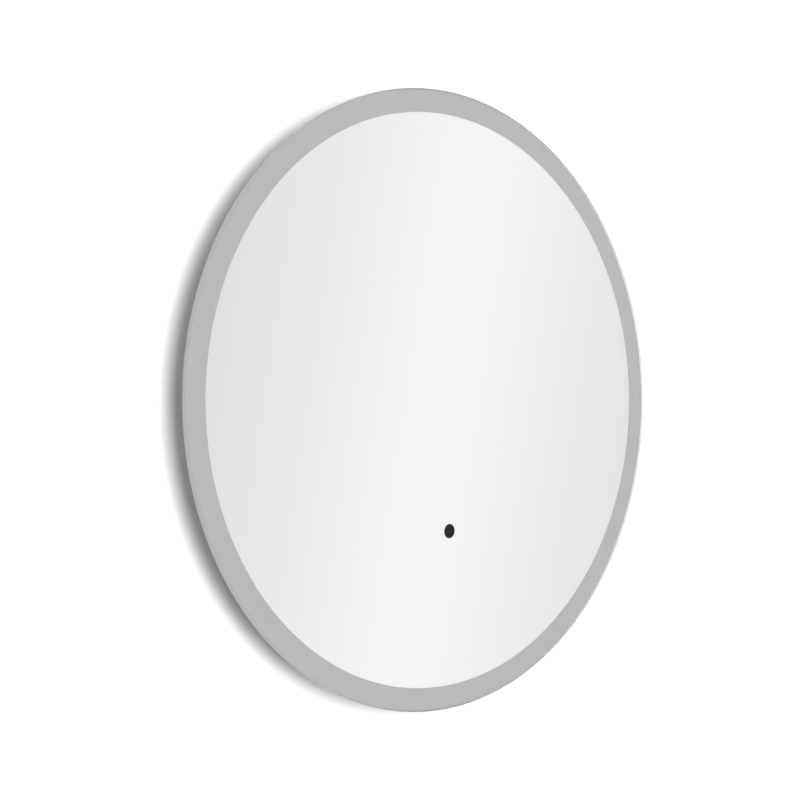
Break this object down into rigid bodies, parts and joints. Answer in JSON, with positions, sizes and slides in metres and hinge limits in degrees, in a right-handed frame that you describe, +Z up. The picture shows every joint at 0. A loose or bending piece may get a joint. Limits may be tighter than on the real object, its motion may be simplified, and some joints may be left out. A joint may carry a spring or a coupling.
{
  "type": "lighted bathroom mirror",
  "caption": "Round wall mirror with a frosted light band at its edge, a touchless sensor dot, a hang-on rail and a splash-proof casing behind with a wiring bay.",
  "frame": {"origin": "on the wall face, midway between the two screw slots of the wall rail", "axes": "+X to the right as seen from the room, +Y into the wall, +Z up"},
  "size_m": [0.5999, 0.035, 0.6],
  "materials": {
    "clear_glass": "polished float glass, frosted from behind in a band at the edge",
    "silvering": "silvered, with grey protective paint behind",
    "foam_tape": "matte foam",
    "anodised_aluminium": "satin anodised",
    "zinc_steel": "bright zinc plated",
    "rivet_aluminium": "plain",
    "powder_coated_steel": "fine matte powder coat",
    "strip_white": "matte",
    "lamp_phosphor": "clear gel over phosphor",
    "black_rubber": "matte",
    "housing_plastic": "fine texture",
    "driver_plastic": "fine texture",
    "block_nylon": "slightly waxy",
    "terminal_brass": "bright",
    "board_green": "lacquered",
    "component_dark": "moulded",
    "smoked_lens": "polished smoked lens",
    "sensor_plastic": "fine texture",
    "lead_white": "smooth PVC",
    "lead_earth": "smooth PVC"
  },
  "bodies": {
    "wall_rail": {"wall_rail": "zinc_steel"},
    "mirror": {"back_plate": "powder_coated_steel", "bay_cores": "lead_white", "bay_screws": "zinc_steel", "bond_tape": "foam_tape", "cable_grommet": "black_rubber", "driver_board": "board_green", "driver_case": "driver_plastic", "driver_cover": "driver_plastic", "driver_lead": "lead_white", "driver_nuts": "zinc_steel", "driver_parts": "component_dark", "driver_screws": "zinc_steel", "earth_lead": "lead_earth", "earth_nut": "zinc_steel", "earth_stud": "zinc_steel", "earth_tag": "terminal_brass", "frame_splice": "anodised_aluminium", "glass_pane": "clear_glass", "hanger_rail": "zinc_steel", "hanger_rivets": "rivet_aluminium", "lead_clips": "block_nylon", "led_chips": "lamp_phosphor", "led_strip": "strip_white", "lid_pin": "zinc_steel", "mirror_coating": "silvering", "plate_screws": "zinc_steel", "ring_frame": "anodised_aluminium", "sensor_board": "board_green", "sensor_cap": "sensor_plastic", "sensor_case": "sensor_plastic", "sensor_eyes": "component_dark", "sensor_lead": "lead_white", "sensor_tape": "foam_tape", "sensor_window": "smoked_lens", "splice_screws": "zinc_steel", "strip_connector": "strip_white", "strip_lead": "lead_white", "strip_lead_seal": "black_rubber", "terminal_block": "block_nylon", "terminal_inserts": "terminal_brass", "terminal_screws": "zinc_steel", "wall_bumpers": "black_rubber", "wiring_bay": "housing_plastic"},
    "bay_lid": {"bay_lid": "housing_plastic", "lid_screw": "zinc_steel"}
  },
  "joints": [
    {"name": "mirror_lift", "type": "slide", "parent": "wall_rail", "child": "mirror", "axis": [0, 0, 1], "range_m": [0, 0.015]},
    {"name": "bay_lid_hinge", "type": "hinge", "parent": "mirror", "child": "bay_lid", "pos_m": [-0.067, -0.0043, -0.078], "axis": [1, 0, 0], "range_deg": [0, 110]}
  ]
}
